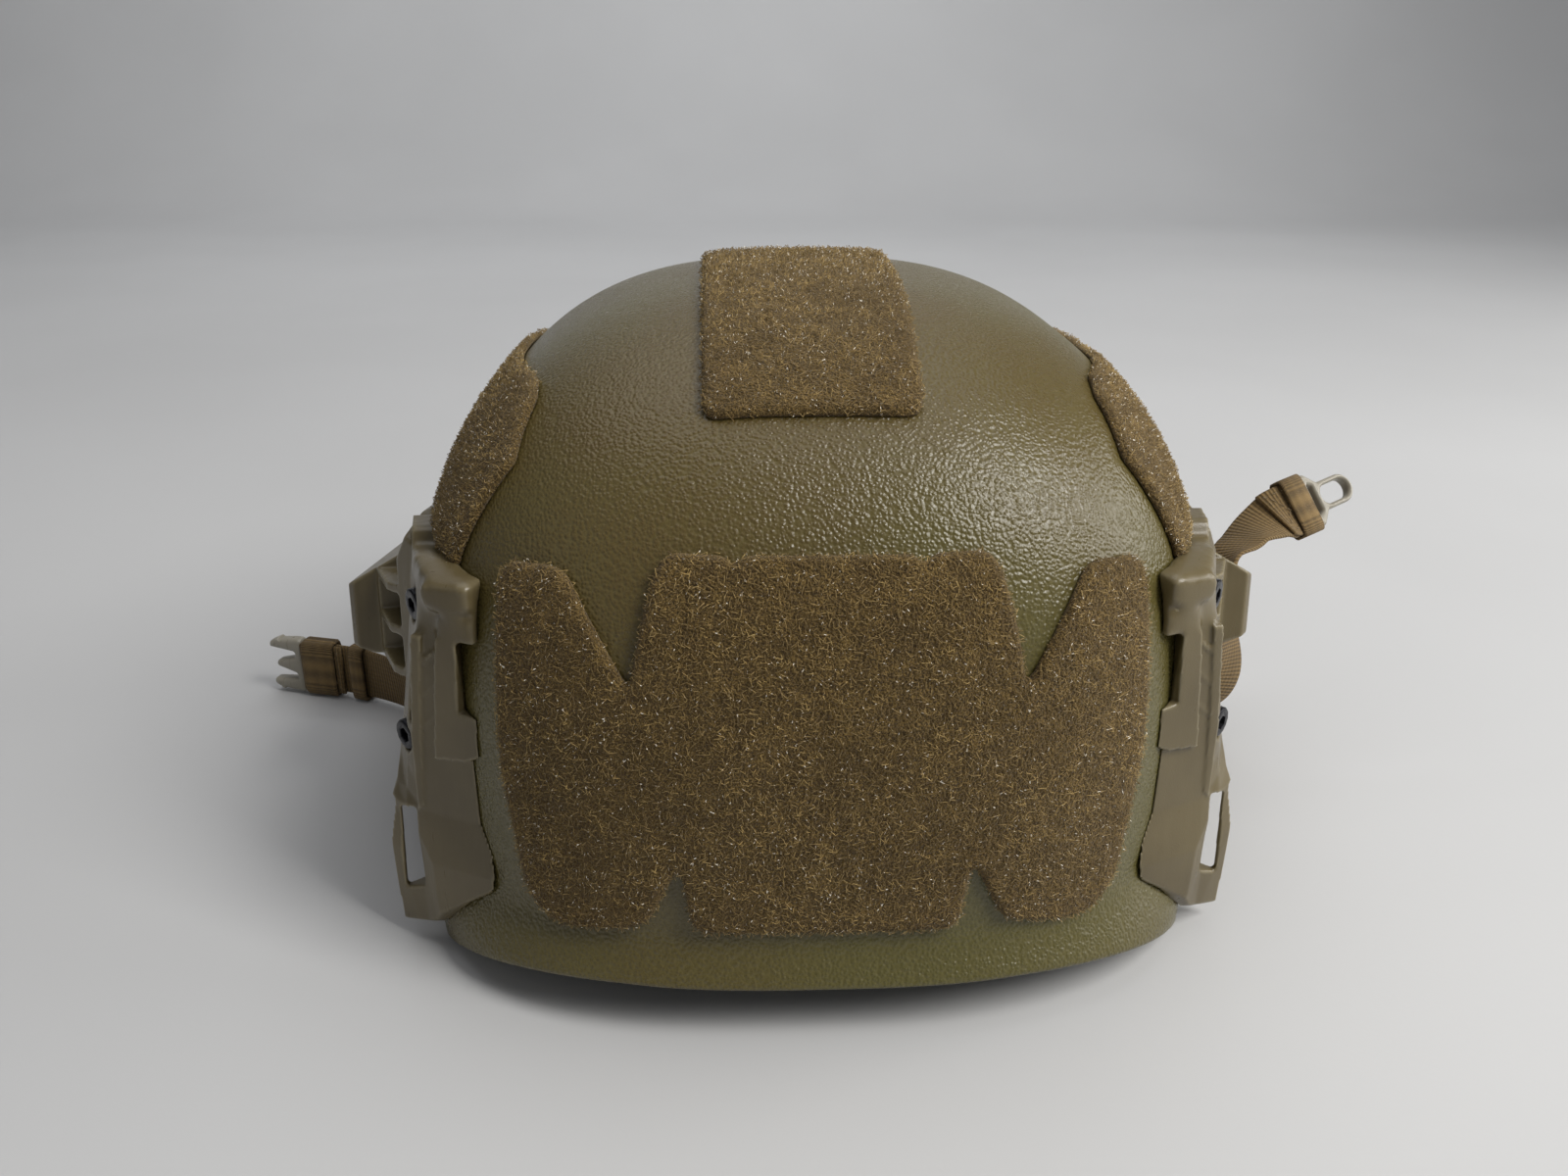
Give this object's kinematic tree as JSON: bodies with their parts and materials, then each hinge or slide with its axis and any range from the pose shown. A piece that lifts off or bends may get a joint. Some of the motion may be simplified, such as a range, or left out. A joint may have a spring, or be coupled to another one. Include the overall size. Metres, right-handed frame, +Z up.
{
  "type": "high-cut combat helmet",
  "caption": "High-cut combat helmet with textured shell, fuzzy loop panels, side accessory rails, pads, dial-fit nape and two-part chin strap",
  "frame": {"origin": "On the table under the middle of the whole helmet's box, where the rim of the temples and nape stands", "axes": "+Z up through the crown; -Y towards the front brim; +X to the wearer's left"},
  "size_m": [0.4078, 0.2605, 0.1729],
  "materials": {
    "shell_paint": "matte textured",
    "loop_pile": "matte",
    "rail_plastic": "satin",
    "black_steel": "satin",
    "pad_cloth": "matte",
    "hook_tape": "matte",
    "webbing": "matte",
    "buckle_plastic": "satin",
    "dark_plastic": "satin"
  },
  "bodies": {
    "shell": {"shell": "shell_paint", "loop_front": "loop_pile", "loop_crown": "loop_pile", "loop_rear": "loop_pile", "loop_side_left": "loop_pile", "loop_side_right": "loop_pile", "rail_left": "rail_plastic", "rail_right": "rail_plastic", "screw_front_left": "black_steel", "screw_front_right": "black_steel", "nut_front_left": "black_steel", "nut_front_right": "black_steel", "screw_lower_left": "black_steel", "screw_lower_right": "black_steel", "nut_lower_left": "black_steel", "nut_lower_right": "black_steel", "screw_rear_left": "black_steel", "screw_rear_right": "black_steel", "nut_rear_left": "black_steel", "nut_rear_right": "black_steel", "pad_crown": "pad_cloth", "hook_crown": "hook_tape", "pad_front": "pad_cloth", "hook_front": "hook_tape", "pad_rear": "pad_cloth", "hook_rear": "hook_tape", "pad_front_left": "pad_cloth", "hook_front_left": "hook_tape", "pad_front_right": "pad_cloth", "hook_front_right": "hook_tape", "pad_rear_left": "pad_cloth", "hook_rear_left": "hook_tape", "pad_rear_right": "pad_cloth", "hook_rear_right": "hook_tape", "nape_arm_left": "dark_plastic", "nape_arm_right": "dark_plastic", "anchor_front_left": "dark_plastic", "anchor_front_right": "dark_plastic", "anchor_rear_left": "dark_plastic", "anchor_rear_right": "dark_plastic", "leg_front_left": "webbing", "leg_front_right": "webbing", "leg_rear_left": "webbing", "leg_rear_right": "webbing", "adjuster_left": "dark_plastic", "adjuster_right": "dark_plastic", "cam_pin_left": "black_steel", "cam_pin_right": "black_steel"},
    "nape": {"nape_carrier": "dark_plastic", "nape_pad": "pad_cloth", "dial_housing": "dark_plastic"},
    "dial": {"dial_knob": "dark_plastic"},
    "strap_left": {"chin_strap_left": "webbing", "buckle_socket": "buckle_plastic"},
    "strap_right": {"chin_strap_right": "webbing", "buckle_plug": "buckle_plastic"},
    "lever_left": {"cam_lever_left": "dark_plastic"},
    "lever_right": {"cam_lever_right": "dark_plastic"}
  },
  "joints": [
    {"name": "nape_slide", "type": "slide", "parent": "shell", "child": "nape", "axis": [0, -1, 0], "range_m": [0, 0.012]},
    {"name": "dial_turn", "type": "hinge", "parent": "nape", "child": "dial", "pos_m": [0, 0.1109, 0.021], "axis": [0, -1, 0], "range_deg": [0, 300]},
    {"name": "chin_swing_left", "type": "hinge", "parent": "shell", "child": "strap_left", "pos_m": [0.1219, 0.013, 0.013], "axis": [0, 0, 1], "range_deg": [-12, 12]},
    {"name": "chin_swing_right", "type": "hinge", "parent": "shell", "child": "strap_right", "pos_m": [-0.1219, 0.013, 0.013], "axis": [0, 0, 1], "range_deg": [-20, 40]},
    {"name": "lever_hinge_left", "type": "hinge", "parent": "shell", "child": "lever_left", "pos_m": [0.1243, -0.004, 0.013], "axis": [0, 0, 1], "range_deg": [0, 60]},
    {"name": "lever_hinge_right", "type": "hinge", "parent": "shell", "child": "lever_right", "pos_m": [-0.1243, -0.004, 0.013], "axis": [0, 0, 1], "range_deg": [-60, 0]}
  ],
  "couplings": [
    {"joint": "dial_turn", "follows": "nape_slide", "rad_per_m": 436}
  ]
}
